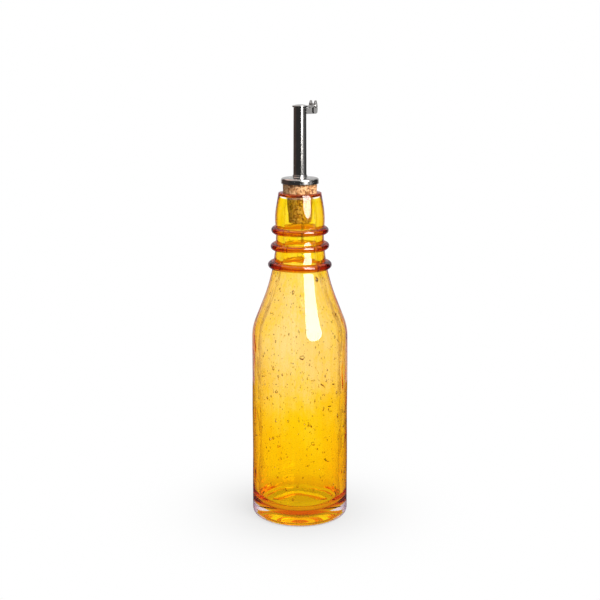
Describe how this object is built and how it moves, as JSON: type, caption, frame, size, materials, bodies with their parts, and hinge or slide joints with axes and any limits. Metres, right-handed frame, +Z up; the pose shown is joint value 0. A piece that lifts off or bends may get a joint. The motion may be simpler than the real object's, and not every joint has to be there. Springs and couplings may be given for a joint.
{
  "type": "glass oil bottle with pourer",
  "caption": "Tall hand-blown amber glass oil bottle with rings round the neck and a cork pourer whose steel spout is shut by a small hinged flap.",
  "frame": {"origin": "centre of the foot, on the surface it stands on", "axes": "+Z up along the bottle; the flap's hinge is on the +X side of the spout, its pin along Y"},
  "size_m": [0.0654, 0.0654, 0.2827],
  "materials": {
    "amber_glass": "hand-blown seeded amber glass cased in clear glass",
    "ring_glass": "deeper amber glass thread",
    "cork": "agglomerated cork",
    "polished_steel": "polished stainless steel"
  },
  "bodies": {
    "bottle": {"glass_bottle": "amber_glass", "neck_ring_1": "ring_glass", "neck_ring_2": "ring_glass", "neck_ring_3": "ring_glass", "cork": "cork", "pourer_collar": "polished_steel", "pour_tube": "polished_steel", "vent_tube": "polished_steel", "hinge_bracket": "polished_steel", "hinge_pin": "polished_steel"},
    "flap": {"flap": "polished_steel"}
  },
  "joints": [
    {"name": "flap_hinge", "type": "hinge", "parent": "bottle", "child": "flap", "pos_m": [0.0105, 0, 0.2789], "axis": [0, 1, 0], "range_deg": [0, 90]}
  ]
}
